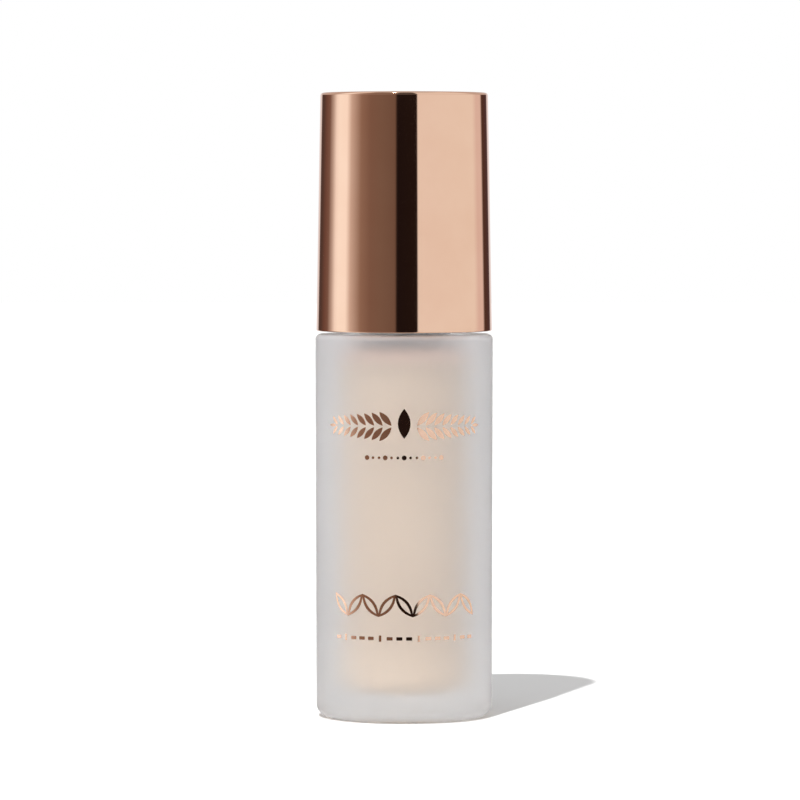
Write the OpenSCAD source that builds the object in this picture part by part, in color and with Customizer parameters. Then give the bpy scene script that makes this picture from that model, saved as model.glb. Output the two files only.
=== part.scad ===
// Foundation bottle: thick-walled frosted glass, a screw-on treatment pump and a pull-off overcap.
// Millimetres. +Z is up, the origin is the centre of the base, and the front of the bottle faces -Y.

/* [Bottle] */
// Outside diameter of the glass at the shoulder
body_d = 31.1; // [30.8:0.1:32]
// Outside diameter of the glass just above the heel
base_d = 30.8; // [30.2:0.1:31.1]
// Height of the glass, from the table to the shoulder
body_h = 67.15; // [64:0.05:72]
// Diameter of the chamber that holds the foundation
chamber_d = 16.4; // [15.5:0.1:18]
// Thickness of the glass under the chamber
base_t = 4.6; // [3.5:0.1:6]
// Drop from the shoulder down to the level of the foundation
fill_drop = 4.9; // [4.1:0.1:6]

/* [Neck] */
// Diameter of the neck under its thread
neck_d = 15.8; // [15.6:0.1:16]
// Bore of the neck
neck_bore = 10.8; // [10.6:0.1:11]
// Height of the neck above the shoulder
neck_h = 10.2; // [10:0.1:10.4]
// Rise of the thread in one turn
thread_pitch = 2.5; // [2.4:0.1:2.6]

/* [Overcap] */
// Outside diameter of the overcap at its mouth
cap_d = 30.8; // [30.6:0.1:31.2]
// Draft of the overcap's side, in degrees
cap_draft = 1; // [0.5:0.05:1.2]
// Height of the overcap
cap_h = 41.65; // [41.3:0.05:44]
// Gap between the overcap's mouth and the glass shoulder
cap_gap = 0.55; // [0.3:0.05:0.6]
// Wall of the overcap's metallised shell
cap_wall = 0.9; // [0.7:0.1:1]

/* [Pump] */
// Travel of the actuator, from up to fully pressed
stroke = 4.5; // [3.5:0.1:4.5]
// Bore of the pump cylinder
pump_bore = 7.6; // [7.4:0.1:7.8]
// Outside diameter of the stem
stem_d = 3.8; // [3.6:0.1:3.9]
// Outside diameter of the collar's metal sleeve
collar_d = 24.4; // [24:0.1:24.5]
// Outside diameter of the actuator's metal cover
actuator_d = 15; // [14.6:0.1:15.2]
// Outside diameter of the dip tube
tube_d = 3.5; // [3.2:0.1:3.6]
// Diameter of the check ball
ball_d = 2.5; // [2.2:0.1:2.6]
// Wire of the return spring
wire_d = 0.55; // [0.45:0.05:0.55]

/* [Decoration] */
// Thickness of the hot-stamped foil
foil_t = 0.05; // [0.04:0.01:0.08]
// Half-length of the leaf spray in the upper emblem
spray_len = 14.2; // [12:0.1:15]
// Length of the woven wave in the lower emblem
wave_len = 27; // [24:0.5:28]

/* [Hidden] */
$fn = 96;

fit = 0.05;                  // radial clearance of a sliding fit
push = 0.02;                 // radial clearance of a push fit
rose_gold = [0.80, 0.53, 0.42];
body_r = body_d / 2;
base_r = base_d / 2;
neck_r = neck_d / 2;
bore_r = neck_bore / 2;
chamber_r = chamber_d / 2;
stem_r = stem_d / 2;
tube_r = tube_d / 2;
cylinder_r = pump_bore / 2;
collar_r = collar_d / 2;
actuator_r = actuator_d / 2;

heel_r = 2.2;                // rounding of the glass where it meets the table
shoulder_r = 0.95;           // rounding of the glass shoulder
punt_r = 10.4;               // recess under the base
punt_h = 0.7;
ceiling_z = body_h - 1.8;    // top of the chamber
lip_z = body_h + neck_h;
level_z = body_h - fill_drop;

gasket_t = 1;
flange_z = lip_z + gasket_t; // underside of the pump's flange
flange_t = 1.2;
plate_z = flange_z + flange_t;   // underside of the closure's top plate
plate_t = 2.1;
guide_top = plate_z + 2.9;
neck_grip = 5.1;             // radius of the housing inside the neck
mouth_r = 4.4;               // socket for the stem guide
mouth_z = plate_z - 2.9;
ledge_z = body_h - 6.3;      // spring seat inside the housing
seat_z = ledge_z - 4.1;      // lower edge of the check ball's seat
tail_r = 2.7;
tail_z = seat_z - 7.3;       // lower end of the housing
tube_top = seat_z - 1.3;
tube_bottom = base_t + 2;
poppet_z = ledge_z + stroke + 3.7;   // underside of the poppet's flange
poppet_t = 1;
piston_z = poppet_z + poppet_t + 0.55;
stem_top = poppet_z + 28.4;
head_z = plate_z + stroke + 3.6;     // lower edge of the actuator's cover
head_top = head_z + 16.3;
spout_z = head_z + 10.6;
spout_r = 1.9;
spout_tip = 11;

closure_r = 10.7;
closure_bore = 9.05;
closure_z = body_h + 0.9;
sleeve_z = body_h + 0.6;
sleeve_t = 0.45;
sleeve_top = plate_z + plate_t + sleeve_t;

cap_z = body_h + cap_gap;
cap_top = cap_z + cap_h;
liner_bore = collar_r + 0.2;
liner_t = 0.9;
liner_z = cap_z + 0.3;
liner_top = cap_top - 1.8;

ridge_turns = 1.25;          // length of each thread, in turns
ridge_root = 1.1;            // axial width of a thread ridge at its root
ridge_crest = 0.6;
neck_crest = 8.85;
closure_crest = 8.15;

// ---------- shared shapes ----------

// Points along an arc about (x, y), from angle a to angle b
function arc(x, y, r, a, b, n = 9) =
    [for (i = [0:n]) let (t = a + (b - a) * i / n) [x + r * cos(t), y + r * sin(t)]];

// Radius of the overcap's outside at height z
function cap_radius(z) = cap_d / 2 - (z - cap_z) * tan(cap_draft);

// Radius of the glass's outside at height z
function glass_radius(z) = base_r + (body_r - base_r) * z / body_h;

module lathe(points) {
    rotate_extrude() polygon(points);
}

// A tube about Z
module tube(outer, inner, z, h) {
    translate([0, 0, z]) difference() {
        cylinder(r = outer, h = h);
        translate([0, 0, -1]) cylinder(r = inner, h = h + 2);
    }
}

// A solid cone frustum between two heights whose side follows the overcap's draft
module draft_cone(inset, z0, z1) {
    translate([0, 0, z0])
        cylinder(r1 = cap_radius(z0) - inset, r2 = cap_radius(z1) - inset, h = z1 - z0);
}

// Joins a list of rings, each of the same number of points, into one closed solid
module skin(rings) {
    n = len(rings);
    m = len(rings[0]);
    sides = [for (i = [0:n - 2], j = [0:m - 1])
        let (a = i * m + j, b = i * m + (j + 1) % m)
            each [[a, b, b + m], [a, b + m, a + m]]];
    start = [for (j = [1:m - 2]) [0, j + 1, j]];
    end = [for (j = [1:m - 2]) [(n - 1) * m, (n - 1) * m + j, (n - 1) * m + j + 1]];
    polyhedron(points = [for (r = rings) each r], faces = concat(sides, start, end));
}

// A right-hand thread ridge on a wall of radius root, fading in and out over a few steps
module thread_ridge(root, crest, z, phase) {
    steps = 45;
    fade = 5;
    way = sign(crest - root);
    skin([for (i = [0:steps])
        let (turn = phase + 360 * ridge_turns * i / steps,
             rise = z + thread_pitch * ridge_turns * i / steps,
             full = min(1, i / fade, (steps - i) / fade),
             tip = root - way * 0.1 + (crest - root + way * 0.1) * full,
             foot = root - way * 0.35,
             section = [[foot, -ridge_root / 2], [foot, ridge_root / 2],
                        [tip, ridge_crest / 2], [tip, -ridge_crest / 2]],
             order = way > 0 ? [3, 2, 1, 0] : [0, 1, 2, 3])
        [for (k = order) [section[k][0] * cos(turn), section[k][0] * sin(turn), rise + section[k][1]]]]);
}

// A flat shape drawn in arc length and height, stamped on the front of the glass
module stamp(along, up) {
    rotate([0, 0, along / body_r * 180 / PI])
        translate([0, 0, up])
            rotate([90, 0, 0])
                translate([0, 0, body_r - 2])
                    linear_extrude(3) children();
}

// The layer that foil fills, just outside the glass
module foil_layer(z0, z1) {
    translate([0, 0, z0]) difference() {
        cylinder(r1 = glass_radius(z0) + foil_t, r2 = glass_radius(z1) + foil_t, h = z1 - z0);
        translate([0, 0, -z0]) cylinder(r1 = base_r, r2 = body_r, h = body_h);
    }
}

// A pointed leaf from the origin along +X
module leaf(length, width) {
    bow = (length * length / 4 + width * width / 4) / width;
    intersection() {
        translate([length / 2, width / 2 - bow]) circle(bow);
        translate([length / 2, bow - width / 2]) circle(bow);
    }
}

// ---------- bottle ----------

module glass_bottle() {
    floor_round = 2.6;
    dome_round = 2.2;
    color([0.86, 0.88, 0.88, 0.6]) union() {
        lathe(concat(
            [[0, punt_h], [punt_r - 0.6, punt_h], [punt_r, 0]],
            arc(base_r - heel_r, heel_r, heel_r, -90, 0),
            arc(body_r - shoulder_r, body_h - shoulder_r, shoulder_r, 0, 90),
            arc(neck_r + 0.6, body_h + 0.6, 0.6, 270, 180, 5),
            arc(neck_r - 0.5, lip_z - 0.5, 0.5, 0, 90, 5),
            arc(bore_r + 0.4, lip_z - 0.4, 0.4, 90, 180, 5),
            arc(bore_r + 0.6, ceiling_z + 0.6, 0.6, 180, 270, 5),
            arc(chamber_r - dome_round, ceiling_z - dome_round, dome_round, 90, 0),
            arc(chamber_r - floor_round, base_t + floor_round, floor_round, 0, -90),
            [[0, base_t]]));
        thread_ridge(neck_r, neck_crest, body_h + 2.9, 200);
    }
}

// The foundation fills the chamber round the dip tube and the pump's tail
module foundation_fill() {
    floor_round = 2.6;
    slack = 0.3;
    color([0.87, 0.76, 0.66]) lathe(concat(
        [[0, base_t]],
        arc(chamber_r - floor_round, base_t + floor_round, floor_round, -90, 0),
        [[chamber_r, level_z], [neck_grip + slack, level_z],
         [neck_grip + slack, seat_z + 1.6], [tail_r + slack, seat_z - 0.9],
         [tail_r + slack, tail_z - slack], [tube_r + slack, tail_z - slack],
         [tube_r + slack, tube_bottom - 0.4], [0, tube_bottom - 0.4]]));
}

// Upper emblem: a drop between two leaf sprays, over a row of beads
module foil_spray() {
    mid_z = 51.6;
    pairs = 8;
    color(rose_gold) intersection() {
        foil_layer(mid_z - 8, mid_z + 5);
        union() {
            stamp(0, mid_z) rotate(90) translate([-2.1, 0]) leaf(5.2, 2.2);
            for (side = [-1, 1]) {
                for (i = [0:pairs - 1], tilt = [-1, 1]) {
                    size = 3.2 - 0.19 * i;
                    stamp(side * (2.2 + (spray_len - 3.4) * i / (pairs - 1)), mid_z + tilt * 0.14)
                        rotate(side > 0 ? tilt * 48 : 180 - tilt * 48) leaf(size, size * 0.34);
                }
                stamp(side * (spray_len - 0.9), mid_z)
                    rotate(side > 0 ? 0 : 180) leaf(1.8, 0.6);
            }
            for (i = [-6:6]) stamp(i * 1.1, mid_z - 5.4)
                circle(i % 3 == 0 ? 0.42 : 0.24, $fn = 24);
        }
    }
}

// Lower emblem: crossing strands of lens-shaped links, over a row of short bars
module foil_wave() {
    mid_z = 20.6;
    links = 9;
    color(rose_gold) intersection() {
        foil_layer(mid_z - 8, mid_z + 5);
        union() {
            for (i = [0:links - 1]) {
                pitch = wave_len / links;
                stamp((i - (links - 1) / 2) * pitch, mid_z) difference() {
                    rotate(i % 2 ? 52 : -52) translate([-2.5, 0]) leaf(5, 1.9);
                    rotate(i % 2 ? 52 : -52) translate([-1.8, 0]) leaf(3.6, 0.9);
                }
            }
            for (i = [0:15]) stamp((i - 7.5) * wave_len / 16, mid_z - 5.7)
                square([i % 4 == 1 ? 0.45 : 1.05, i % 4 == 1 ? 1.1 : 0.6], center = true);
        }
    }
}

module shade_label() {
    color([0.95, 0.93, 0.91]) translate([0, 0, punt_h - 0.12]) cylinder(r = 8.6, h = 0.12);
}

// ---------- pump, fixed parts ----------

module pump_housing() {
    wall = 0.95;
    ball_room = ball_d / 2 + 0.35;
    color([0.95, 0.95, 0.94]) union() {
        difference() {
            lathe([
                [0.9, tail_z + 1], [0.9, seat_z], [ball_room, seat_z + 0.95], [ball_room, ledge_z - 0.9],
                [2.25, ledge_z], [cylinder_r, ledge_z], [cylinder_r, mouth_z], [mouth_r, mouth_z],
                [mouth_r, plate_z], [7.7, plate_z], [7.7, flange_z], [neck_grip, flange_z],
                [neck_grip, flange_z - 6], [cylinder_r + wall, flange_z - 6.4],
                [cylinder_r + wall, seat_z + 1.6], [tail_r, seat_z - 0.9], [tail_r, tail_z + 0.3],
                [tail_r - 0.3, tail_z], [0.9, tail_z]]);
            translate([0, 0, tail_z - 1]) cylinder(r = tube_r + push, h = tube_top - tail_z + 1);
            translate([0, 0, mouth_z - 1.6]) rotate([0, 90, 0]) cylinder(r = 0.35, h = 8);
        }
        for (a = [0:120:240]) rotate([0, 0, a])
            translate([0.75, -0.3, ledge_z - 0.75]) cube([1.3, 0.6, 0.6]);
    }
}

module stem_guide() {
    color([0.93, 0.93, 0.92]) lathe([
        [2.95, mouth_z + 0.02], [2.95, mouth_z + 1.4], [stem_r + fit, mouth_z + 1.7],
        [stem_r + fit, guide_top - 0.3], [stem_r + fit + 0.3, guide_top], [4.6, guide_top],
        [5.4, guide_top - 0.8], [5.4, plate_z], [mouth_r, plate_z], [mouth_r, mouth_z + 0.02]]);
}

module neck_gasket() {
    color([0.9, 0.9, 0.88]) tube(7.75, neck_grip, lip_z, gasket_t);
}

module dip_tube() {
    color([0.93, 0.95, 0.96, 0.7]) difference() {
        tube(tube_r, tube_r - 0.55, tube_bottom, tube_top - tube_bottom);
        translate([0, 0, tube_bottom]) rotate([0, 35, 0]) translate([-6, -3, -6]) cube([12, 6, 6]);
    }
}

// Compression spring with closed ends: the coils lie together at each end and open out between
module return_spring() {
    coils = 6;
    steps = 20;
    sides = 8;
    middle_r = 2.88;
    low = ledge_z + wire_d / 2 + 0.02;
    high = poppet_z - wire_d / 2 - 0.02;
    dead = wire_d * 1.04;
    function lift(c) = c < 1 ? low + dead * c
        : c > coils - 1 ? high - dead * (coils - c)
        : low + dead + (high - low - 2 * dead) * (c - 1) / (coils - 2);
    color([0.75, 0.76, 0.78]) skin([for (i = [0:coils * steps])
        let (c = i / steps, turn = 360 * c)
        [for (k = [0:sides - 1])
            let (q = 360 * k / sides, r = middle_r + wire_d / 2 * cos(q))
            [r * cos(turn), r * sin(turn), lift(c) + wire_d / 2 * sin(q)]]]);
}

// The ball rests on the cone that rises from a bore of radius 0.9 beside it
module check_ball() {
    cone_run = ball_d / 2 + 0.35 - 0.9;
    cone_rise = 0.95;
    slope = atan2(cone_rise, cone_run);
    rest_z = seat_z - 0.9 * tan(slope) + (ball_d / 2 + 0.01) / cos(slope);
    color([0.8, 0.81, 0.83]) translate([0, 0, rest_z]) sphere(r = ball_d / 2);
}

// ---------- closure ----------

module screw_closure() {
    color([0.94, 0.94, 0.93]) union() {
        difference() {
            union() {
                translate([0, 0, closure_z]) cylinder(r = closure_r, h = plate_z + plate_t - closure_z);
                for (i = [0:23]) rotate([0, 0, i * 15])
                    translate([closure_r - 0.3, -0.35, closure_z])
                        cube([collar_r - sleeve_t - closure_r + 0.25, 0.7, plate_z - closure_z]);
            }
            translate([0, 0, closure_z - 1]) cylinder(r = closure_bore, h = plate_z - closure_z + 1);
            translate([0, 0, plate_z - 1]) cylinder(r = 5.75, h = plate_t + 2);
        }
        thread_ridge(closure_bore, closure_crest, body_h + 2.9 + thread_pitch / 2, 200);
    }
}

module collar_sleeve() {
    round = 0.8;
    color(rose_gold) lathe(concat(
        [[collar_r - sleeve_t, sleeve_z], [collar_r - 0.1, sleeve_z], [collar_r, sleeve_z + 0.1]],
        arc(collar_r - round, sleeve_top - round, round, 0, 90),
        [[6, sleeve_top], [6, sleeve_top - sleeve_t]],
        arc(collar_r - round, sleeve_top - round, round - sleeve_t, 90, 0)));
}

// ---------- overcap ----------

module overcap_shell() {
    mouth_round = 0.2;
    top_round = 0.5;
    inner_round = 0.6;
    roof = 1.2;
    inner_top = cap_radius(cap_top - roof) - cap_wall;
    color(rose_gold) lathe(concat(
        [[cap_radius(cap_z) - cap_wall, cap_z + 0.15], [cap_radius(cap_z) - cap_wall + 0.15, cap_z]],
        arc(cap_radius(cap_z) - mouth_round, cap_z + mouth_round, mouth_round, -90, -cap_draft, 6),
        arc(cap_radius(cap_top) - top_round, cap_top - top_round, top_round, cap_draft, 90),
        [[0, cap_top], [0, cap_top - roof]],
        arc(inner_top - inner_round, cap_top - roof - inner_round, inner_round, 90, cap_draft, 5)));
}

// The liner grips the collar with soft ribs and carries the shell on a ring and outside ribs
module overcap_liner() {
    ring_h = 3;
    glue = 0.03;
    color([0.93, 0.91, 0.89]) union() {
        difference() {
            union() {
                draft_cone(cap_wall + glue, liner_z, liner_z + ring_h);
                translate([0, 0, liner_z]) cylinder(r = liner_bore + liner_t, h = liner_top - liner_z);
                intersection() {
                    draft_cone(cap_wall + glue, liner_z, liner_top - 0.6);
                    for (i = [0:3]) rotate([0, 0, i * 45])
                        translate([-body_r, -0.5, liner_z]) cube([body_d, 1, liner_top - liner_z]);
                }
            }
            translate([0, 0, liner_z - 1]) cylinder(r = liner_bore, h = liner_top - liner_z);
        }
        for (i = [0:5]) rotate([0, 0, i * 60 + 30])
            translate([liner_bore + 0.38, 0, liner_z + 2]) cylinder(r = 0.5, h = 9, $fn = 24);
    }
}

// ---------- moving parts of the pump ----------

module piston() {
    lip = cylinder_r - 0.03;
    hug = stem_r + 0.03;
    top = mouth_z + 1;
    color([0.9, 0.92, 0.95]) lathe([
        [hug, piston_z], [2.5, piston_z - 0.25], [3.4, piston_z - 0.45], [lip, piston_z - 0.45],
        [lip, piston_z + 0.4], [3.3, piston_z + 0.9], [3.3, piston_z + 3.4], [lip, piston_z + 4],
        [lip, piston_z + 4.7], [3.35, piston_z + 4.7], [3.1, piston_z + 3.6], [2.6, piston_z + 3.4],
        [2.6, top], [hug, top]]);
}

module stem() {
    color([0.95, 0.95, 0.95]) difference() {
        tube(stem_r, 1, poppet_z + poppet_t + 0.4, stem_top - poppet_z - poppet_t - 0.4);
        for (a = [0, 90]) rotate([0, 0, a]) translate([0, 0, poppet_z + poppet_t + 1.6])
            rotate([0, 90, 0]) cylinder(r = 0.45, h = stem_d + 2, center = true);
    }
}

// The poppet plugs the stem's lower end, seals the piston from below and takes the spring's push
module poppet() {
    color([0.9, 0.9, 0.9]) difference() {
        lathe([
            [0, poppet_z - 2], [1.1, poppet_z - 2], [1.5, poppet_z - 1.6], [1.5, poppet_z],
            [3.1, poppet_z], [3.1, poppet_z + 0.5], [stem_r, poppet_z + poppet_t],
            [stem_r, poppet_z + poppet_t + 0.4], [1, poppet_z + poppet_t + 0.4],
            [1, poppet_z + poppet_t + 4.4], [0, poppet_z + poppet_t + 4.4]]);
        for (a = [0:90:270]) rotate([0, 0, a])
            translate([1, 0, poppet_z + poppet_t + 0.8]) cylinder(r = 0.4, h = 5, $fn = 24);
    }
}

module actuator_core() {
    inner = actuator_r - 0.45;
    roof_z = head_top - 1;
    color([0.94, 0.94, 0.93]) difference() {
        union() {
            tube(inner, inner - 1.1, head_z + 0.4, roof_z - head_z - 0.4);
            translate([0, 0, roof_z - 1.4]) cylinder(r = inner - 0.6, h = 1.4);
            tube(3.2, stem_r, head_z + 1.6, stem_top - head_z - 1.6);
            translate([0, 0, stem_top]) cylinder(r = 3.2, h = roof_z - stem_top - 1);
            translate([0, 0, spout_z]) rotate([0, 90, 0]) cylinder(r = 2.9, h = inner - 0.9);
        }
        translate([0, 0, stem_top - 1]) cylinder(r = 1, h = spout_z - stem_top + 1);
        translate([0, 0, spout_z]) rotate([0, 90, 0]) cylinder(r = 1, h = inner + 1);
        translate([4.4, 0, spout_z]) rotate([0, 90, 0]) cylinder(r = spout_r, h = inner);
        translate([0, 0, head_z + 1]) cylinder(r = stem_r + push, h = stem_top - head_z - 1);
    }
}

module actuator_cover() {
    round = 0.7;
    skin_t = 0.4;
    dish = 0.5;
    edge = actuator_r - round;
    bowl = (edge * edge + dish * dish) / (2 * dish);
    color(rose_gold) difference() {
        lathe(concat(
            [[actuator_r - skin_t, head_z], [actuator_r, head_z]],
            arc(edge, head_top - round, round, 0, 90),
            [for (i = [8:-1:0]) let (x = edge * i / 9)
                [x, head_top - dish + bowl - sqrt(bowl * bowl - x * x)]],
            [[0, head_top - 0.98], [actuator_r - skin_t, head_top - 0.98]]));
        translate([0, 0, spout_z]) rotate([0, 90, 0]) cylinder(r = spout_r + 0.08, h = actuator_d);
    }
}

module nozzle_spout() {
    color(rose_gold) translate([0, 0, spout_z]) rotate([0, 90, 0]) lathe([
        [0.75, 4.42], [spout_r, 4.42], [spout_r, spout_tip - 1.6], [1.6, spout_tip - 0.2],
        [1.4, spout_tip], [0.9, spout_tip], [0.75, spout_tip - 0.15]]);
}

glass_bottle();
foundation_fill();
foil_spray();
foil_wave();
shade_label();
pump_housing();
stem_guide();
neck_gasket();
dip_tube();
return_spring();
check_ball();
screw_closure();
collar_sleeve();
overcap_shell();
overcap_liner();
piston();
stem();
poppet();
actuator_core();
actuator_cover();
nozzle_spout();
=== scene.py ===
import math

import bmesh
import bpy
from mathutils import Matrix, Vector


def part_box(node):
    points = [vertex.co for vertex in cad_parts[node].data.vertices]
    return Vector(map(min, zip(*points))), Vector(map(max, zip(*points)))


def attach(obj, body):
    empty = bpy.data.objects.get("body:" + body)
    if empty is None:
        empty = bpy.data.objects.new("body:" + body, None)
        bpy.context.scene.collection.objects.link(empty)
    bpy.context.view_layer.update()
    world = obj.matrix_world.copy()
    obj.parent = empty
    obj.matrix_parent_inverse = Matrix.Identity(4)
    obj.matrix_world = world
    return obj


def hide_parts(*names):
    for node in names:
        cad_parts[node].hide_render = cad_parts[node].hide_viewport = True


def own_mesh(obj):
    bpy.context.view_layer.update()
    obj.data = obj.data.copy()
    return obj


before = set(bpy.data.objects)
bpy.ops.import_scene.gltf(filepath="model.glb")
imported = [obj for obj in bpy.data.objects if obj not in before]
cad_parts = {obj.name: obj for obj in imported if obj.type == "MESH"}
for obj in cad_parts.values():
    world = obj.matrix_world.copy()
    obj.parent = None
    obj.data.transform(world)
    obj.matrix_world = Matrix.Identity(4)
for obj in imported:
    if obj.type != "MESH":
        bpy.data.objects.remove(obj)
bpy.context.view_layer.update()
mm = 0.001
weld = 0.0004 * mm  # points nearer than this become one
fullTurn = 2 * math.pi


class Wire:  # a node's output that can be used in Python expressions
    def __init__(self, bench, socket):
        self.bench = bench
        self.socket = socket

    def mathNode(self, operation, *values):
        made = self.bench.node("ShaderNodeMath", {"operation": operation}, dict(enumerate(values)))
        return Wire(self.bench, made.outputs[0])

    def __add__(self, other):
        return self.mathNode("ADD", self, other)

    __radd__ = __add__

    def __sub__(self, other):
        return self.mathNode("SUBTRACT", self, other)

    def __rsub__(self, other):
        return self.mathNode("SUBTRACT", other, self)

    def __mul__(self, other):
        return self.mathNode("MULTIPLY", self, other)

    __rmul__ = __mul__

    def __truediv__(self, other):
        return self.mathNode("DIVIDE", self, other)

    def sine(self):
        return self.mathNode("SINE", self)

    def cosine(self):
        return self.mathNode("COSINE", self)

    def floored(self):
        return self.mathNode("FLOOR", self)

    def modulo(self, other):
        return self.mathNode("MODULO", self, other)

    def atLeast(self, other):
        return self.mathNode("MAXIMUM", self, other)

    def atMost(self, other):
        return self.mathNode("MINIMUM", self, other)

    def kept(self):  # held between 0 and 1
        return self.atLeast(0.0).atMost(1.0)


class Bench:  # adds nodes to one tree
    def __init__(self, tree):
        self.tree = tree

    def feed(self, made, sockets):  # a wire is linked, each wire of a list too, anything else is set
        for name, value in sockets.items():
            if isinstance(value, Wire):
                value = [value]
            if isinstance(value, list):
                for wire in value:
                    self.tree.links.new(wire.socket, made.inputs[name])
            else:
                made.inputs[name].default_value = value

    def node(self, kind, settings=None, sockets=None):
        made = self.tree.nodes.new(kind)
        for name, value in (settings or {}).items():
            if name == "stops":
                ramp = made.color_ramp
                while len(ramp.elements) < len(value):
                    ramp.elements.new(0.5)
                for element, (place, colour) in zip(ramp.elements, value):
                    element.position = place
                    element.color = colour
            else:
                setattr(made, name, value)
        self.feed(made, sockets or {})
        return made

    def wire(self, kind, settings=None, sockets=None, output=0):
        return Wire(self, self.node(kind, settings, sockets).outputs[output])

    def split(self, vector):
        made = self.node("ShaderNodeSeparateXYZ", None, {0: vector})
        return [Wire(self, made.outputs[i]) for i in range(3)]

    def join(self, x, y, z):
        return self.wire("ShaderNodeCombineXYZ", None, {0: x, 1: y, 2: z})


def startMaterial(name):  # a Principled material, its bench and its shader
    material = bpy.data.materials.new(name)
    material.use_nodes = True
    return material, Bench(material.node_tree), material.node_tree.nodes["Principled BSDF"]


def startTree(name, sizes, others=None):  # a Geometry Nodes tree with named inputs, and wires to them
    tree = bpy.data.node_groups.new(name, "GeometryNodeTree")
    inputs = {"Geometry": "Geometry"}
    inputs.update({size: "Float" for size in sizes})
    inputs.update(others or {})
    inputs["Material"] = "Material"
    for label, kind in inputs.items():
        tree.interface.new_socket(label, in_out="INPUT", socket_type="NodeSocket" + kind)
    tree.interface.new_socket("Geometry", in_out="OUTPUT", socket_type="NodeSocketGeometry")
    bench = Bench(tree)
    entry = bench.node("NodeGroupInput")
    return tree, bench, {socket.name: Wire(bench, socket) for socket in entry.outputs if socket.name}


def endTree(bench, geometry, material):  # every tree ends with real geometry and its material
    real = bench.wire("GeometryNodeRealizeInstances", None, {0: geometry})
    dressed = bench.wire("GeometryNodeSetMaterial", None, {"Geometry": real, "Material": material})
    bench.node("NodeGroupOutput", None, {0: dressed})


def newObject(name, mesh):
    made = bpy.data.objects.new(name, mesh)
    bpy.context.scene.collection.objects.link(made)
    return made


def meshFrom(name, points, edges=(), faces=()):
    mesh = bpy.data.meshes.new(name)
    mesh.from_pydata([tuple(p) for p in points], list(edges), list(faces))
    return mesh


def seedObject(name):  # a single point for a tree that draws its own shape
    return newObject(name, meshFrom(name, [(0, 0, 0)]))


def grow(piece, tree, values):  # runs a tree on a piece and keeps the result as its plain mesh
    modifier = piece.modifiers.new("grow", "NODES")
    modifier.node_group = tree
    for item in tree.interface.items_tree:
        if item.in_out == "INPUT" and item.name in values:
            modifier[item.identifier] = values[item.name]
    piece.update_tag()
    graph = bpy.context.evaluated_depsgraph_get()
    mesh = bpy.data.meshes.new_from_object(piece.evaluated_get(graph))
    piece.modifiers.remove(modifier)
    piece.data = mesh
    return piece


def finishFaces(piece, sharpAngle):  # closed seams and ends, outward faces, smooth shading, true edges
    mesh = piece.data
    work = bmesh.new()
    work.from_mesh(mesh)
    bmesh.ops.remove_doubles(work, verts=work.verts, dist=weld)
    bmesh.ops.holes_fill(work, edges=[edge for edge in work.edges if edge.is_boundary])
    bmesh.ops.recalc_face_normals(work, faces=work.faces)
    work.to_mesh(mesh)
    work.free()
    mesh.shade_smooth()
    mesh.set_sharp_from_angle(angle=math.radians(sharpAngle))
    return piece


def mount(piece, body, replaced):
    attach(piece, body)
    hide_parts(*replaced)
    return piece


def arc(x, z, radius, start, end, steps=10):
    angles = [math.radians(start + (end - start) * i / steps) for i in range(steps + 1)]
    return [(x + radius * math.cos(a), z + radius * math.sin(a)) for a in angles]


def objectPlace(bench):
    return bench.wire("ShaderNodeTexCoord", None, None, "Object")


def stretched(bench, place, scale):  # a scale under 1 draws the pattern out along that axis
    return bench.wire("ShaderNodeMapping", None, {"Vector": place, "Scale": scale})


def noise(bench, place, scale, detail=3.0):
    sockets = {"Vector": place, "Scale": scale, "Detail": detail, "Roughness": 0.55}
    return bench.wire("ShaderNodeTexNoise", {"noise_dimensions": "3D"}, sockets)


def mapped(bench, value, fromLow, fromHigh, toLow, toHigh):
    return bench.wire("ShaderNodeMapRange", {"clamp": True}, {
        "Value": value, "From Min": fromLow, "From Max": fromHigh, "To Min": toLow, "To Max": toHigh})


def between(bench, cloud, low, high):  # the middle half of a noise spread from low to high
    return mapped(bench, cloud, 0.25, 0.75, low, high)


def blendColours(bench, factor, first, second):
    return bench.wire("ShaderNodeMix", {"data_type": "RGBA"}, {0: factor, 6: first, 7: second}, 2)


def cloudColour(bench, cloud, settings):  # wanders between a finish's pale and deep colours
    return blendColours(bench, between(bench, cloud, 0, 1), settings["pale"], settings["deep"])


def bump(bench, height, strength, distance):
    return bench.wire("ShaderNodeBump", None, {
        "Height": height, "Strength": strength, "Distance": distance})


roseGold = {
    "pale": (0.80, 0.545, 0.40, 1), "deep": (0.76, 0.495, 0.355, 1),
    "gloss": 0.035, "dull": 0.07,
    "cloud": 90, "smear": 900, "smearStretch": (1, 1, 0.12),
    "ripple": 160, "rippleStrength": 0.15, "rippleDepth": 0.012 * mm,
}


def roseGoldMetal(name, settings):  # mirror plating with a faint polishing smear
    material, bench, shader = startMaterial(name)
    place = objectPlace(bench)
    cloud = noise(bench, place, settings["cloud"])
    smear = noise(bench, stretched(bench, place, settings["smearStretch"]), settings["smear"], 5)
    ripple = noise(bench, place, settings["ripple"], 1)
    bench.feed(shader, {
        "Base Color": cloudColour(bench, cloud, settings),
        "Metallic": 1.0,
        "Roughness": between(bench, smear * 0.7 + cloud * 0.3, settings["gloss"], settings["dull"]),
        "Normal": bump(bench, ripple, settings["rippleStrength"], settings["rippleDepth"]),
    })
    return material


foil = {
    "pale": (0.80, 0.55, 0.41, 1), "deep": (0.70, 0.46, 0.33, 1),
    "gloss": 0.06, "dull": 0.13, "cloud": 420,
    "grain": 5200, "grainStrength": 0.25, "grainDepth": 0.01 * mm,
}


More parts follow.
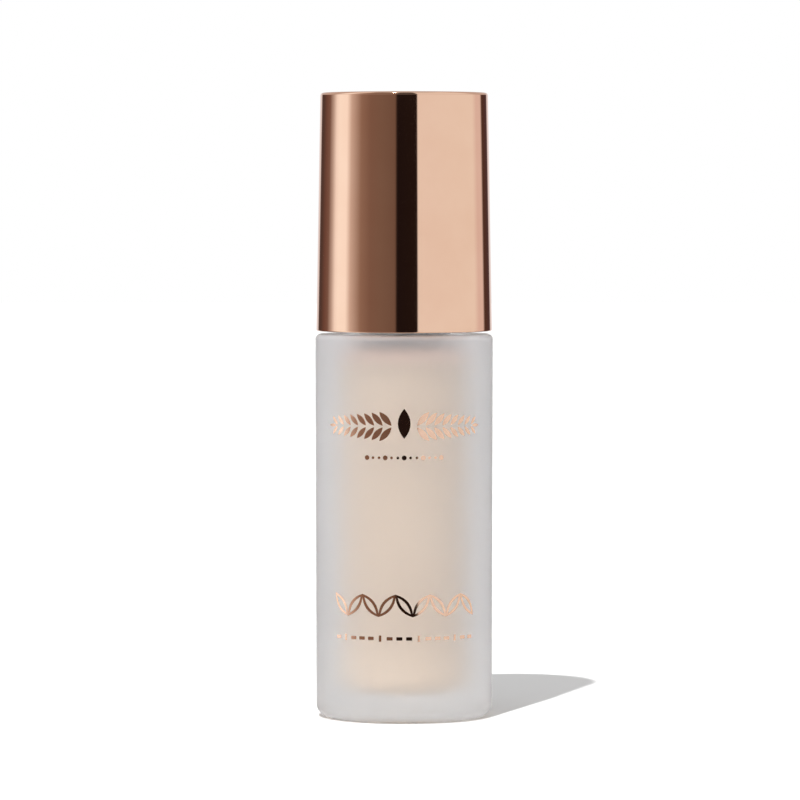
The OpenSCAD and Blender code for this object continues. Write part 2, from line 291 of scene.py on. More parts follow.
def foilMetal(name):  # hot-stamped foil takes up the frost under it
    material, bench, shader = startMaterial(name)
    place = objectPlace(bench)
    grain = noise(bench, place, foil["grain"], 4)
    cloud = noise(bench, place, foil["cloud"])
    bench.feed(shader, {
        "Base Color": cloudColour(bench, cloud, foil),
        "Metallic": 1.0,
        "Roughness": between(bench, cloud * 0.5 + grain * 0.5, foil["gloss"], foil["dull"]),
        "Normal": bump(bench, grain, foil["grainStrength"], foil["grainDepth"]),
    })
    return material


frosted = {
    # painted light: the glass colour is much paler over the foot than above it, so the base looks brighter
    # than its lighting makes it
    "tint": (0.775, 0.785, 0.81, 1), "paintedFootLight": (0.985, 0.99, 1.0, 1), "paintedLightHeight": 17 * mm,
    "outside": (0.54, 0.62, 0.86),  # smoothest, roughest, share of light let through
    "inside": (0.09, 0.15, 1.0),
    "index": 1.5, "cloud": 130,
    "frost": 6500, "frostStrength": 0.2, "frostDepth": 0.006 * mm,
}


def frostedGlass(name, side):  # etched outside, moulded and smoother inside
    low, high, clear = frosted[side]
    material, bench, shader = startMaterial(name)
    place = objectPlace(bench)
    frost = noise(bench, place, frosted["frost"], 3)
    cloud = noise(bench, place, frosted["cloud"], 2)
    _, _, height = bench.split(place)
    # painted light: fades from the pale foot colour at the bottom up to the glass tint
    rise = mapped(bench, height, 0.0, frosted["paintedLightHeight"], 0.0, 1.0)
    bench.feed(shader, {
        "Base Color": blendColours(bench, rise, frosted["paintedFootLight"], frosted["tint"]),
        "Roughness": between(bench, cloud * 0.8 + frost * 0.2, low, high),
        "IOR": frosted["index"],
        "Transmission Weight": clear,
        "Normal": bump(bench, frost, frosted["frostStrength"], frosted["frostDepth"]),
    })
    return material


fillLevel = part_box("foundation_fill")[1].z
cream = {
    "pale": (0.84, 0.665, 0.50, 1), "deep": (0.81, 0.625, 0.46, 1),
    # painted light: the film colour stands in for the rose-gold cap's reflection and lifts the shade under
    # the cap
    "film": (0.99, 0.70, 0.56, 1), "filmStart": fillLevel - 0.4 * mm, "filmFull": fillLevel + 0.8 * mm,
    "gloss": 0.32, "dull": 0.42,
    "swirl": 140, "swirlStretch": (1, 1, 0.4), "swirlStrength": 0.1, "swirlDepth": 0.05 * mm,
}


def creamFoundation(name):  # the thin film of it above the level is real; its lighter, pinker colour is painted light: a painted reflection of the rose-gold cap, and painted brightening in the shade under the cap
    material, bench, shader = startMaterial(name)
    place = objectPlace(bench)
    swirl = noise(bench, stretched(bench, place, cream["swirlStretch"]), cream["swirl"], 3)
    _, _, height = bench.split(place)
    film = mapped(bench, height, cream["filmStart"], cream["filmFull"], 0.0, 1.0)
    bench.feed(shader, {
        "Base Color": blendColours(bench, film, cloudColour(bench, swirl, cream), cream["film"]),
        "Roughness": between(bench, swirl, cream["gloss"], cream["dull"]),
        "Normal": bump(bench, swirl, cream["swirlStrength"], cream["swirlDepth"]),
    })
    return material


moulding = {
    "cloud": 260, "shade": 0.94, "index": 1.49,
    "grain": 4200, "grainStrength": 0.12, "grainDepth": 0.01 * mm,
}


def mouldedPlastic(name, colour, gloss, dull, clear=0.0):
    material, bench, shader = startMaterial(name)
    place = objectPlace(bench)
    cloud = noise(bench, place, moulding["cloud"], 3)
    grain = noise(bench, place, moulding["grain"], 2)
    shade = tuple(moulding["shade"] * c for c in colour)
    bench.feed(shader, {
        "Base Color": cloudColour(bench, cloud, {"pale": (*colour, 1), "deep": (*shade, 1)}),
        "Roughness": between(bench, cloud * 0.5 + grain * 0.5, gloss, dull),
        "Transmission Weight": clear,
        "IOR": moulding["index"],
        "Normal": bump(bench, grain, moulding["grainStrength"], moulding["grainDepth"]),
    })
    return material


steel = {
    "pale": (0.72, 0.73, 0.75, 1), "deep": (0.60, 0.61, 0.63, 1),
    "drawn": 2600, "drawnStrength": 0.1, "drawnDepth": 0.004 * mm,
}


def polishedSteel(name, gloss, dull):
    material, bench, shader = startMaterial(name)
    drawn = noise(bench, objectPlace(bench), steel["drawn"], 4)
    bench.feed(shader, {
        "Base Color": cloudColour(bench, drawn, steel),
        "Metallic": 1.0,
        "Roughness": between(bench, drawn, gloss, dull),
        "Normal": bump(bench, drawn, steel["drawnStrength"], steel["drawnDepth"]),
    })
    return material


labelStock = {
    "pale": (0.93, 0.92, 0.90, 1), "deep": (0.88, 0.87, 0.85, 1), "gloss": 0.55, "dull": 0.75,
    "fibre": 3800, "fibreStretch": (1, 0.2, 1), "fibreStrength": 0.3, "fibreDepth": 0.01 * mm,
}


def labelPaper(name):
    material, bench, shader = startMaterial(name)
    place = stretched(bench, objectPlace(bench), labelStock["fibreStretch"])
    fibre = noise(bench, place, labelStock["fibre"], 5)
    bench.feed(shader, {
        "Base Color": cloudColour(bench, fibre, labelStock),
        "Roughness": between(bench, fibre, labelStock["gloss"], labelStock["dull"]),
        "Normal": bump(bench, fibre, labelStock["fibreStrength"], labelStock["fibreDepth"]),
    })
    return material


print("materials")
shellMetal = roseGoldMetal("overcapRoseGold", roseGold)
sleeveMetal = roseGoldMetal("sleeveRoseGold", dict(roseGold, gloss=0.10, dull=0.18))
foilFinish = foilMetal("stampedFoil")
glassOutside = frostedGlass("frostedGlassOutside", "outside")
glassInside = frostedGlass("mouldedGlassInside", "inside")
foundation = creamFoundation("foundationCream")
whitePlastic = mouldedPlastic("whitePlastic", (0.90, 0.89, 0.87), 0.28, 0.40)
naturalPlastic = mouldedPlastic("naturalPlastic", (0.87, 0.87, 0.85), 0.35, 0.48, 0.25)
linerPlastic = mouldedPlastic("linerPlastic", (0.84, 0.81, 0.78), 0.38, 0.5)
pistonPlastic = mouldedPlastic("pistonPlastic", (0.80, 0.84, 0.88), 0.35, 0.5)
tubePlastic = mouldedPlastic("tubePlastic", (0.90, 0.92, 0.93), 0.2, 0.32, 0.7)
gasketFoam = mouldedPlastic("gasketFoam", (0.82, 0.82, 0.80), 0.7, 0.85)
springSteel = polishedSteel("springSteel", 0.16, 0.30)
ballSteel = polishedSteel("ballSteel", 0.05, 0.12)
paper = labelPaper("labelPaper")

nodeFinish = {
    "shade_label": paper, "pump_housing": naturalPlastic, "stem_guide": naturalPlastic,
    "neck_gasket": gasketFoam, "dip_tube": tubePlastic, "check_ball": ballSteel,
    "screw_closure": whitePlastic, "overcap_liner": linerPlastic, "piston": pistonPlastic,
    "stem": whitePlastic, "poppet": whitePlastic, "actuator_core": whitePlastic,
    "nozzle_spout": sleeveMetal, "collar_sleeve": sleeveMetal, "actuator_cover": sleeveMetal,
}
for nodeName, finish in nodeFinish.items():
    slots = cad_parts[nodeName].data.materials
    slots.clear()
    slots.append(finish)


def makeLathe():  # turns an outline of (radius, 0, height) points about the upright axis
    tree, bench, entry = startTree("lathe", [], {"Segments": "Int"})
    outline = entry["Geometry"]
    count = bench.wire("GeometryNodeAttributeDomainSize", {"component": "MESH"}, {0: outline})
    sheet = bench.wire("GeometryNodeMeshGrid", None, {
        "Vertices X": entry["Segments"] + 1, "Vertices Y": count})
    index = bench.wire("GeometryNodeInputIndex")
    turn = (index / count).floored() * fullTurn / entry["Segments"]
    place = bench.wire("GeometryNodeSampleIndex", {"data_type": "FLOAT_VECTOR", "domain": "POINT"}, {
        0: outline, 1: bench.wire("GeometryNodeInputPosition"), 2: index.modulo(count)})
    x, _, z = bench.split(place)
    turned = bench.wire("GeometryNodeSetPosition", None, {
        "Geometry": sheet, "Position": bench.join(x * turn.cosine(), x * turn.sine(), z)})
    closed = bench.wire("GeometryNodeMergeByDistance", None, {"Geometry": turned, "Distance": weld})
    endTree(bench, closed, entry["Material"])
    return tree


latheTree = makeLathe()


def turnedPiece(name, outline, material, segments):
    points = [(x, 0, z) for x, z in outline]
    edges = [(i, i + 1) for i in range(len(points) - 1)]
    piece = newObject(name, meshFrom(name, points, edges))
    grow(piece, latheTree, {"Segments": segments, "Material": material})
    return finishFaces(piece, 32)


bottle = {
    "baseRadius": 15.4 * mm, "heel": 2.2 * mm, "shoulder": 0.95 * mm,
    "puntRadius": 10.4 * mm, "puntHeight": 0.7 * mm, "puntSlope": 0.9 * mm, "footRing": 0.25 * mm,
    "neckRadius": 7.9 * mm, "neckHeight": 10.2 * mm, "neckRound": 0.6 * mm, "lipRound": 0.5 * mm,
    "boreRadius": 5.4 * mm, "boreRound": 0.4 * mm, "throatRound": 0.6 * mm,
    "chamberRadius": 8.2 * mm, "chamberFloor": 4.6 * mm, "floorRound": 2.6 * mm,
    "ceilingDrop": 1.8 * mm, "domeRound": 2.2 * mm,
    "segments": 288,
}
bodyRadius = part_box("glass_bottle")[1].x
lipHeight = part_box("glass_bottle")[1].z
shoulderHeight = lipHeight - bottle["neckHeight"]
ceilingHeight = shoulderHeight - bottle["ceilingDrop"]
wallCone = (bodyRadius - bottle["baseRadius"]) / shoulderHeight  # the wall widens a little upwards


def makeGlass():
    b = bottle
    shoulder, neck, bore = b["shoulder"], b["neckRadius"], b["boreRadius"]
    neckRound, lipRound, boreRound = b["neckRound"], b["lipRound"], b["boreRound"]
    throat, dome, floor = b["throatRound"], b["domeRound"], b["floorRound"]
    outline = [(0, b["puntHeight"]), (b["puntRadius"] - b["puntSlope"], b["puntHeight"])]
    outline += arc(b["puntRadius"] + b["footRing"], b["footRing"], b["footRing"], 200, 270, 5)
    outline += arc(b["baseRadius"] - b["heel"], b["heel"], b["heel"], -90, 0, 16)
    for share in (0.2, 0.4, 0.6, 0.8):
        outline.append((b["baseRadius"] + wallCone * shoulderHeight * share, shoulderHeight * share))
    outline += arc(bodyRadius - shoulder, shoulderHeight - shoulder, shoulder, 0, 90, 14)
    outline += arc(neck + neckRound, shoulderHeight + neckRound, neckRound, 270, 180, 6)
    outline += arc(neck - lipRound, lipHeight - lipRound, lipRound, 0, 90, 6)
    outline += arc(bore + boreRound, lipHeight - boreRound, boreRound, 90, 180, 6)
    outline += arc(bore + throat, ceilingHeight + throat, throat, 180, 270, 6)
    outline += arc(b["chamberRadius"] - dome, ceilingHeight - dome, dome, 90, 0, 12)
    outline += arc(b["chamberRadius"] - floor, b["chamberFloor"] + floor, floor, 0, -90, 12)
    outline += [(0, b["chamberFloor"])]
    glass = turnedPiece("frostedGlassBody", outline, glassOutside, b["segments"])
    glass.data.materials.append(glassInside)
    for face in glass.data.polygons:  # the chamber and the bore keep the moulded finish
        radius = math.hypot(face.center.x, face.center.y)
        aboveFoot = face.center.z > b["puntHeight"] + 1 * mm
        inChamber = radius < b["chamberRadius"] + 0.05 * mm and face.center.z < shoulderHeight
        inBore = radius < bore + 0.2 * mm
        if aboveFoot and (inChamber or inBore):
            face.material_index = 1
    return glass


fillSettings = {
    "overlap": 0.02 * mm, "film": 0.12 * mm, "segments": 192,
    "wellRadius": 5.4 * mm, "wellDepth": 8 * mm, "wellRound": 0.5 * mm, "wellEdge": 0.1 * mm,
    "meniscus": 0.35 * mm, "meniscusWidth": 0.7 * mm,
}


def makeFill():  # the cream wets the glass, so it reaches a hair into the wall, and its film climbs the dome
    b, f = bottle, fillSettings
    radius = b["chamberRadius"] + f["overlap"]
    floor = b["chamberFloor"] - f["overlap"]
    floorRound, domeRound = b["floorRound"], b["domeRound"]
    domeCentre = (b["chamberRadius"] - domeRound, ceilingHeight - domeRound)
    trough = fillLevel - f["meniscus"]
    well = f["wellRadius"]  # the pump's housing stands in it
    outline = [(0, floor)]
    outline += arc(radius - floorRound, floor + floorRound, floorRound, -90, 0, 14)
    outline += arc(*domeCentre, domeRound + f["overlap"], 0, 90, 12)
    outline += arc(*domeCentre, domeRound - f["film"], 90, 0, 12)
    outline += [(radius - 0.2 * mm, fillLevel), (radius - 0.3 * mm, fillLevel - 0.2 * mm)]
    outline += [(radius - f["meniscusWidth"], trough), (well + f["wellRound"], trough)]
    outline += [(well, fillLevel - f["wellEdge"]), (well, fillLevel - f["wellDepth"])]
    outline += [(0, fillLevel - f["wellDepth"])]
    return turnedPiece("foundationCream", outline, foundation, f["segments"])


neckThread = {
    "turns": 1.25, "pitch": 2.5 * mm, "start": 200, "rise": 2.9 * mm,
    "crest": 8.85 * mm, "width": 1.1 * mm, "sink": 0.1 * mm,
}
threadSteps = 180
threadCorners = 5  # four corners of the section, and the first again
threadFade = 9.0  # the first and last ninth fade in and out


def makeThreadTree():  # a trapezoid ridge along a helix
    tree, bench, entry = startTree("threadRidge", [
        "Turns", "Pitch", "Start", "Low", "Root", "Sink", "Crest", "Width"])
    sheet = bench.wire("GeometryNodeMeshGrid", None, {
        "Vertices X": threadSteps + 1, "Vertices Y": threadCorners})
    index = bench.wire("GeometryNodeInputIndex")
    corner = index.modulo(threadCorners)
    share = (index / threadCorners).floored() / threadSteps
    turn = entry["Start"] + share * entry["Turns"] * fullTurn
    full = (share * threadFade).atMost((1.0 - share) * threadFade).atMost(1.0)
    out = ((corner + 1.0) / 2.0).floored().modulo(2.0)  # 0 1 1 0 0 round the section
    upper = (corner / 2.0).floored().modulo(2.0)  # 0 0 1 1 0
    up = (upper - 0.5) * (1.0 - out * 0.55)
    foot = entry["Root"] - entry["Sink"]
    radius = foot + (entry["Crest"] - foot) * full * out
    height = entry["Low"] + entry["Pitch"] * entry["Turns"] * share + up * entry["Width"]
    ridge = bench.wire("GeometryNodeSetPosition", None, {
        "Geometry": sheet,
        "Position": bench.join(radius * turn.cosine(), radius * turn.sine(), height)})
    closed = bench.wire("GeometryNodeMergeByDistance", None, {"Geometry": ridge, "Distance": weld})
    endTree(bench, closed, entry["Material"])
    return tree


def makeNeckThread():
    t = neckThread
    piece = grow(seedObject("neckThreadRidge"), makeThreadTree(), {
        "Turns": t["turns"], "Pitch": t["pitch"], "Start": math.radians(t["start"]),
        "Low": shoulderHeight + t["rise"], "Root": bottle["neckRadius"], "Sink": t["sink"],
        "Crest": t["crest"], "Width": t["width"], "Material": glassOutside})
    return finishFaces(piece, 30)


def makeStampTree():  # places a shape at each point, bends it round the glass and gives it thickness
    tree, bench, entry = startTree("stampFoil", ["Low Radius", "Cone", "Thickness"], {"Shape": "Object"})
    shape = bench.wire("GeometryNodeObjectInfo", None, {"Object": entry["Shape"]}, "Geometry")
    turn = bench.wire("GeometryNodeInputNamedAttribute", {"data_type": "FLOAT"}, {"Name": "turn"})
    size = bench.wire("GeometryNodeInputNamedAttribute", {"data_type": "FLOAT_VECTOR"}, {"Name": "size"})
    placed = bench.wire("GeometryNodeInstanceOnPoints", None, {
        "Points": entry["Geometry"], "Instance": shape,
        "Rotation": bench.join(0.0, 0.0, turn), "Scale": size})
    flat = bench.wire("GeometryNodeRealizeInstances", None, {0: placed})
    along, height, _ = bench.split(bench.wire("GeometryNodeInputPosition"))
    radius = entry["Low Radius"] + height * entry["Cone"]
    angle = along / radius
    bent = bench.wire("GeometryNodeSetPosition", None, {
        "Geometry": flat,
        "Position": bench.join(radius * angle.sine(), radius * angle.cosine() * -1.0, height)})
    thick = bench.wire("GeometryNodeExtrudeMesh", {"mode": "FACES"}, {
        "Mesh": bent, "Offset Scale": entry["Thickness"], "Individual": False})
    back = bench.wire("GeometryNodeFlipFaces", None, {0: bent})
    both = bench.wire("GeometryNodeJoinGeometry", None, {0: [thick, back]})
    sealed = bench.wire("GeometryNodeMergeByDistance", None, {"Geometry": both, "Distance": weld})
    endTree(bench, sealed, entry["Material"])
    return tree


def lensShape(name, hole=(0.0, 0.0), sides=24, rings=3):  # a pointed leaf 1 long and 1 wide, or its rim
    points, faces = [], []
    for ring in range(rings + 1):
        share = ring / rings
        for i in range(sides):
            a = fullTurn * i / sides
            x, y = math.cos(a) / 2, math.sin(a) * abs(math.sin(a)) / 2
            points.append((x * (hole[0] + (1 - hole[0]) * share), y * (hole[1] + (1 - hole[1]) * share), 0))
    for ring in range(rings):
        for i in range(sides):
            a, b = ring * sides + i, ring * sides + (i + 1) % sides
            faces.append((a, a + sides, b + sides, b))
    mesh = meshFrom(name, points, faces=faces)
    tiny = 1e-6
    work = bmesh.new()
    work.from_mesh(mesh)
    bmesh.ops.remove_doubles(work, verts=work.verts, dist=tiny)
    bmesh.ops.dissolve_degenerate(work, edges=work.edges, dist=tiny)
    bmesh.ops.recalc_face_normals(work, faces=work.faces)
    work.faces.ensure_lookup_table()
    if work.faces[0].normal.z < 0:
        bmesh.ops.reverse_faces(work, faces=work.faces)
    work.to_mesh(mesh)
    work.free()
    return newObject(name, mesh)


def discShape(name, sides=20, squareness=2.0):  # a disc, or a soft-cornered bar when squareness is high
    points, faces = [(0, 0, 0)], []
    for ring in (0.5, 1.0):
        for i in range(sides):
            a = fullTurn * i / sides
            c, s = math.cos(a), math.sin(a)
            x = math.copysign(abs(c) ** (2 / squareness), c) / 2
            y = math.copysign(abs(s) ** (2 / squareness), s) / 2
            points.append((x * ring, y * ring, 0))
    for i in range(sides):
        after = (i + 1) % sides
        faces.append((0, 1 + i, 1 + after))
        faces.append((1 + i, 1 + sides + i, 1 + sides + after, 1 + after))
    return newObject(name, meshFrom(name, points, faces=faces))


def stampPoints(name, marks):  # marks: along, height, turn in degrees, length, width
    mesh = meshFrom(name, [(along, height, 0) for along, height, *_ in marks])
    turn = mesh.attributes.new("turn", "FLOAT", "POINT")
    size = mesh.attributes.new("size", "FLOAT_VECTOR", "POINT")
    for i, (_, _, degrees, length, width) in enumerate(marks):
        turn.data[i].value = math.radians(degrees)
        size.data[i].vector = (length, width, 1)
    return newObject(name, mesh)


def joinStamps(name, parts):
    work = bmesh.new()
    for part in parts:
        work.from_mesh(part.data)
        bpy.data.objects.remove(part)
    mesh = bpy.data.meshes.new(name)
    work.to_mesh(mesh)
    work.free()
    mesh.materials.append(foilFinish)
    return finishFaces(newObject(name, mesh), 50)


spray = {
    "height": 51.6 * mm, "half": 14.2 * mm,
    "drop": 5.2 * mm, "dropWidth": 2.2 * mm, "dropRise": 0.5 * mm,
    "pairs": 8, "leaf": 3.2 * mm, "taper": 0.19 * mm, "slimness": 0.34, "lean": 48,
    "firstLeaf": 2.2 * mm, "leafRun": 3.4 * mm, "stalkGap": 0.14 * mm,
    "tip": 1.8 * mm, "tipWidth": 0.6 * mm,
    "beads": 6, "beadPitch": 1.1 * mm, "beadDrop": 5.4 * mm, "bigBead": 0.84 * mm, "smallBead": 0.48 * mm,
}


def sprayMarks():
    s = spray
    leaves = [(0, s["height"] + s["dropRise"], 90, s["drop"], s["dropWidth"])]
    lean = math.radians(s["lean"])
    for side in (-1, 1):
        for i in range(s["pairs"]):
            length = s["leaf"] - s["taper"] * i
            base = s["firstLeaf"] + (s["half"] - s["leafRun"]) * i / (s["pairs"] - 1)
            for tilt in (-1, 1):
                along = side * (base + length / 2 * math.cos(lean))
                height = s["height"] + tilt * (s["stalkGap"] + length / 2 * math.sin(lean))
                leaves.append((along, height, side * tilt * s["lean"], length, length * s["slimness"]))
        leaves.append((side * s["half"], s["height"], 0, s["tip"], s["tipWidth"]))
    beads = []
    for i in range(-s["beads"], s["beads"] + 1):
        width = s["smallBead"] if i % 3 else s["bigBead"]
        beads.append((i * s["beadPitch"], s["height"] - s["beadDrop"], 0, width, width))
    return leaves, beads


wave = {
    "height": 20.6 * mm, "length": 27 * mm,
    "links": 9, "lean": 52, "link": 5 * mm, "linkWidth": 1.9 * mm,
    "bars": 16, "barDrop": 5.7 * mm, "bar": (1.05 * mm, 0.6 * mm), "tallBar": (0.45 * mm, 1.1 * mm),
}


def waveMarks():
    w = wave
    links, bars = [], []
    for i in range(w["links"]):
        along = (i - (w["links"] - 1) / 2) * w["length"] / w["links"]
        links.append((along, w["height"], w["lean"] if i % 2 else -w["lean"], w["link"], w["linkWidth"]))
    for i in range(w["bars"]):
        along = (i - (w["bars"] - 1) / 2) * w["length"] / w["bars"]
        size = w["tallBar"] if i % 4 == 1 else w["bar"]
        bars.append((along, w["height"] - w["barDrop"], 0, *size))
    return links, bars


stamping = {"sink": 0.01 * mm, "thickness": 0.05 * mm}


def stampAll():
    tree = makeStampTree()
    shapes = [lensShape("leafShape"), discShape("beadShape"), lensShape("linkShape", (0.72, 0.47)),
              discShape("barShape", 24, 8.0)]
    stamped = []
    for shape, marks in zip(shapes, (*sprayMarks(), *waveMarks())):
        part = stampPoints(shape.name + "Marks", marks)
        grow(part, tree, {
            "Shape": shape, "Low Radius": bottle["baseRadius"] - stamping["sink"], "Cone": wallCone,
            "Thickness": stamping["thickness"], "Material": foilFinish})
        stamped.append(part)
    for shape in shapes:
        bpy.data.objects.remove(shape)
    return joinStamps("foilSprayStamp", stamped[:2]), joinStamps("foilWaveStamp", stamped[2:])


overcap = {
    "wall": 0.9 * mm, "roof": 1.2 * mm, "draft": math.radians(1), "segments": 360,
    "mouthRound": 0.22 * mm, "mouthChamfer": 0.15 * mm, "topRound": 0.55 * mm, "innerRound": 0.6 * mm,
}


def makeOvercap():
    low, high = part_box("overcap_shell")
    o = overcap
    top, mouth = o["topRound"], o["mouthRound"]
    ceiling = high.z - o["roof"]

    def side(height):
        return high.x - (height - low.z) * math.tan(o["draft"])

    inner = side(ceiling) - o["wall"] - o["innerRound"]
    lip = side(low.z) - o["wall"]
    outline = [(0, high.z), (side(high.z) * 0.5, high.z)]
    outline += arc(side(high.z) - top, high.z - top, top, 90, 1, 18)
    for share in (0.8, 0.6, 0.4, 0.2):
        height = low.z + (high.z - low.z) * share
        outline.append((side(height), height))
    outline += arc(side(low.z) - mouth, low.z + mouth, mouth, -1, -90, 10)
    outline += [(lip + o["mouthChamfer"], low.z), (lip, low.z + o["mouthChamfer"])]
    outline += arc(inner, ceiling - o["innerRound"], o["innerRound"], 1, 90, 8)
    outline += [(0, ceiling)]
    return turnedPiece("overcapTurned", outline, shellMetal, o["segments"])


spring = {"coils": 6, "wire": 0.55 * mm, "middleRadius": 2.88 * mm, "travel": 4.5 * mm}
stepsPerCoil = 48
wireSides = 14


def makeSpringTree():  # a wire along a helix whose end coils lie closed
    tree, bench, entry = startTree("closedSpring", ["Coils", "Wire", "Radius", "Low", "High"])
    coils, wireWidth = entry["Coils"], entry["Wire"]
    line = bench.wire("GeometryNodeCurvePrimitiveLine")
    steps = bench.wire("GeometryNodeResampleCurve", None, {
        "Curve": line, "Count": coils * stepsPerCoil + 1})
    turns = bench.wire("GeometryNodeSplineParameter", None, None, "Factor") * coils
    closedRise = wireWidth * 1.04
    low = entry["Low"] + wireWidth * 0.5
    openRise = entry["High"] - wireWidth * 0.5 - low - closedRise * 2
    openShare = (turns - 1).atLeast(0).atMost(coils - 2) / (coils - 2)
    closedTurns = turns.atMost(1) + (turns - coils + 1).atLeast(0)
    height = low + closedRise * closedTurns + openRise * openShare
    turn = turns * fullTurn
    radius = entry["Radius"]
    helix = bench.wire("GeometryNodeSetPosition", None, {
        "Geometry": steps,
        "Position": bench.join(radius * turn.cosine(), radius * turn.sine(), height)})
    section = bench.wire("GeometryNodeCurvePrimitiveCircle", None, {
        "Resolution": wireSides, "Radius": wireWidth * 0.5})
    wound = bench.wire("GeometryNodeCurveToMesh", None, {
        "Curve": helix, "Profile Curve": section, "Fill Caps": True})
    endTree(bench, wound, entry["Material"])
    return tree


def makeSpring(low, high):
    piece = grow(seedObject("coilSpring"), makeSpringTree(), {
        "Coils": float(spring["coils"]), "Wire": spring["wire"], "Radius": spring["middleRadius"],
        "Low": low, "High": high, "Material": springSteel})
    return finishFaces(piece, 40)


print("glass")
mount(makeGlass(), "bottle", ["glass_bottle"])
mount(makeNeckThread(), "bottle", ["glass_bottle"])
print("foundation")
mount(makeFill(), "bottle", ["foundation_fill"])
print("foil")
sprayStamp, waveStamp = stampAll()
mount(sprayStamp, "bottle", ["foil_spray"])
mount(waveStamp, "bottle", ["foil_wave"])
print("overcap")
mount(makeOvercap(), "overcap", ["overcap_shell"])
print("spring")
springLow, springHigh = (corner.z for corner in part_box("return_spring"))
springPiece = mount(makeSpring(springLow, springHigh), "pump", ["return_spring"])
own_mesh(springPiece)


studio = {
    "floorSize": 6.0, "floorColour": (0.80, 0.80, 0.80, 1),
    "domeRadius": 4.0, "domeLevel": 1.0, "worldLevel": 0.62,
    "keyStrength": 2.9, "keyAngle": 0.8, "keyAim": (21.4, 59, -109.35),
    "panelAim": (0, 0, 0.05),
}

# soft panels round the bottle: place, size in metres, watts
softPanels = {
    "leftPanel": ((-1.1, -0.5, 0.6), 0.9, 2.5),
    "rightPanel": ((1.1, -0.5, 0.6), 0.9, 1.6),
    "frontPanel": ((-0.5, -1.2, 1.0), 0.8, 2.5),
}


def hideFrom(thing, *rays):
    for ray in rays:
        setattr(thing, "visible_" + ray, False)


def makeFloor():
    half = studio["floorSize"] / 2
    corners = [(-half, -half, 0), (half, -half, 0), (half, half, 0), (-half, half, 0)]
    floor = newObject("studioFloor", meshFrom("studioFloor", corners, faces=[(0, 1, 2, 3)]))
    material, bench, shader = startMaterial("paleFloor")
    bench.feed(shader, {"Base Color": studio["floorColour"], "Roughness": 0.9, "Specular IOR Level": 0.0})
    floor.data.materials.append(material)
    hideFrom(floor, "glossy")


def startGlow(name):  # a material that only glows, with nothing in its tree yet
    material = bpy.data.materials.new(name)
    material.use_nodes = True
    material.node_tree.nodes.clear()
    material.cycles.emission_sampling = "NONE"
    return material, Bench(material.node_tree)


def makeDome():  # the white background
    work = bmesh.new()
    bmesh.ops.create_uvsphere(work, u_segments=48, v_segments=24, radius=studio["domeRadius"])
    mesh = bpy.data.meshes.new("studioDome")
    work.to_mesh(mesh)
    work.free()
    dome = newObject("studioDome", mesh)
    material, bench = startGlow("softDome")
    glow = bench.wire("ShaderNodeEmission", None, {"Strength": studio["domeLevel"]})
    bench.node("ShaderNodeOutputMaterial", None, {0: glow})
    mesh.materials.append(material)
    hideFrom(dome, "diffuse", "glossy", "transmission", "shadow")


tent = {
    "radius": 1.5, "low": -2.4, "high": 3.6, "sides": 180,
    "evenGlow": (0.66, 0.58, 0.56, 1),  # above the bottle, so that its flat tops aren't striped
    "evenFrom": 0.26, "frontEvenTo": 0.8, "frontShare": 0.5, "backFrom": 0.3,
}

# what the bright metal sees all round: degrees about the bottle from the front, and the light there
tentBands = [
    (-180, (0.90, 0.85, 0.86)), (-156, (0.88, 0.83, 0.84)), (-151.5, (0.10, 0.06, 0.055)),
    (-142, (0.10, 0.06, 0.05)), (-130, (0.19, 0.10, 0.08)), (-121, (0.24, 0.15, 0.125)),
    (-112, (0.62, 0.56, 0.55)), (-104, (1.15, 1.18, 1.24)), (-98, (1.24, 1.32, 1.38)),
    (-84, (1.24, 1.30, 1.36)), (-76, (0.74, 0.66, 0.64)), (-60, (0.34, 0.24, 0.20)),
    (-46, (0.25, 0.165, 0.135)), (-30, (0.23, 0.16, 0.13)), (-12, (0.20, 0.135, 0.11)),
    (-9.6, (0.016, 0.010, 0.010)), (17.3, (0.020, 0.012, 0.010)), (18.3, (1.0, 1.0, 1.02)),
    (106, (1.0, 1.0, 1.0)), (116, (0.87, 0.76, 0.77)), (127, (0.86, 0.74, 0.74)),
    (132, (0.10, 0.05, 0.035)), (146, (0.085, 0.045, 0.045)), (152.5, (0.10, 0.06, 0.065)),
    (157, (0.88, 0.82, 0.84)), (180, (0.90, 0.85, 0.86)),
]


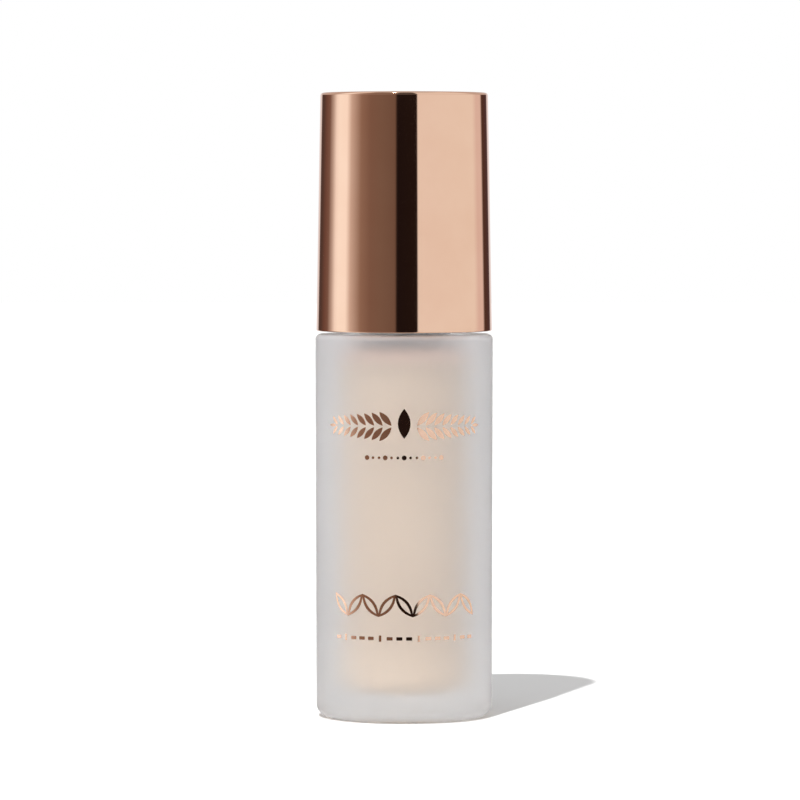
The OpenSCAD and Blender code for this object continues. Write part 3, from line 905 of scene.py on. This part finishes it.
def makeTent():  # a ring of soft panels and dark flags that only reflections show
    t = tent
    points, faces = [], []
    for height in (t["low"], t["high"]):
        for i in range(t["sides"]):
            a = fullTurn * i / t["sides"]
            points.append((t["radius"] * math.cos(a), t["radius"] * math.sin(a), height))
    for i in range(t["sides"]):
        after = (i + 1) % t["sides"]
        faces.append((i, after, t["sides"] + after, t["sides"] + i))
    ring = newObject("lightTent", meshFrom("lightTent", points, faces=faces))
    material, bench = startGlow("tentPanels")
    x, y, z = bench.split(objectPlace(bench))
    angle = bench.wire("ShaderNodeMath", {"operation": "ARCTAN2"}, {0: x, 1: y * -1.0})
    stops = [((degrees + 180) / 360, (*colour, 1)) for degrees, colour in tentBands]
    panel = bench.wire("ShaderNodeValToRGB", {"stops": stops}, {"Fac": angle / fullTurn + 0.5})
    back = ((y - t["backFrom"]) * 2.0).kept()
    front = ((t["frontEvenTo"] - z) * 5.0).atLeast(0.0).atMost(t["frontShare"])
    even = ((z - t["evenFrom"]) * 8.0).kept() * back.atLeast(front)
    shown = blendColours(bench, even, panel, t["evenGlow"])
    glow = bench.wire("ShaderNodeEmission", None, {"Color": shown, "Strength": 1.0})
    bench.node("ShaderNodeOutputMaterial", None, {0: glow})
    ring.data.materials.append(material)
    hideFrom(ring, "camera", "diffuse", "transmission", "shadow", "volume_scatter")


def aimed(direction):
    return Vector(direction).to_track_quat("-Z", "Y").to_euler()


def makeLights():
    world = bpy.data.worlds.new("studio")
    world.use_nodes = True
    background = world.node_tree.nodes["Background"]
    Bench(world.node_tree).feed(background, {"Color": (1, 1, 1, 1), "Strength": studio["worldLevel"]})
    bpy.context.scene.world = world
    key = bpy.data.lights.new("keyLight", "SUN")
    key.energy = studio["keyStrength"]
    key.angle = math.radians(studio["keyAngle"])
    newObject("keyLight", key).rotation_euler = aimed(studio["keyAim"])
    for name, (place, size, watts) in softPanels.items():
        panel = bpy.data.lights.new(name, "AREA")
        panel.shape = "SQUARE"
        panel.size = size
        panel.energy = watts
        holder = newObject(name, panel)
        holder.location = place
        holder.rotation_euler = aimed(Vector(studio["panelAim"]) - Vector(place))
        hideFrom(holder, "camera", "glossy")


cameraSettings = {
    "lens": 220.75, "sensor": 36.0, "clip": (0.05, 50),
    "distance": 860 * mm, "height": 93.2 * mm, "side": -0.73 * mm, "pitch": -2.5085,
}


def makeCamera():
    c = cameraSettings
    data = bpy.data.cameras.new("camera")
    data.lens = c["lens"]
    data.sensor_width = c["sensor"]
    data.clip_start, data.clip_end = c["clip"]
    camera = newObject("camera", data)
    camera.location = (c["side"], -c["distance"], c["height"])
    camera.rotation_euler = (math.radians(90 + c["pitch"]), 0, 0)
    bpy.context.scene.camera = camera


print("stage and light")
makeFloor()
makeDome()
makeTent()
makeLights()
makeCamera()
scene = bpy.context.scene
scene.view_settings.view_transform = "Standard"
scene.cycles.max_bounces = 16
scene.cycles.transmission_bounces = 12
scene.cycles.glossy_bounces = 6
scene.cycles.use_denoising = True

print("done")
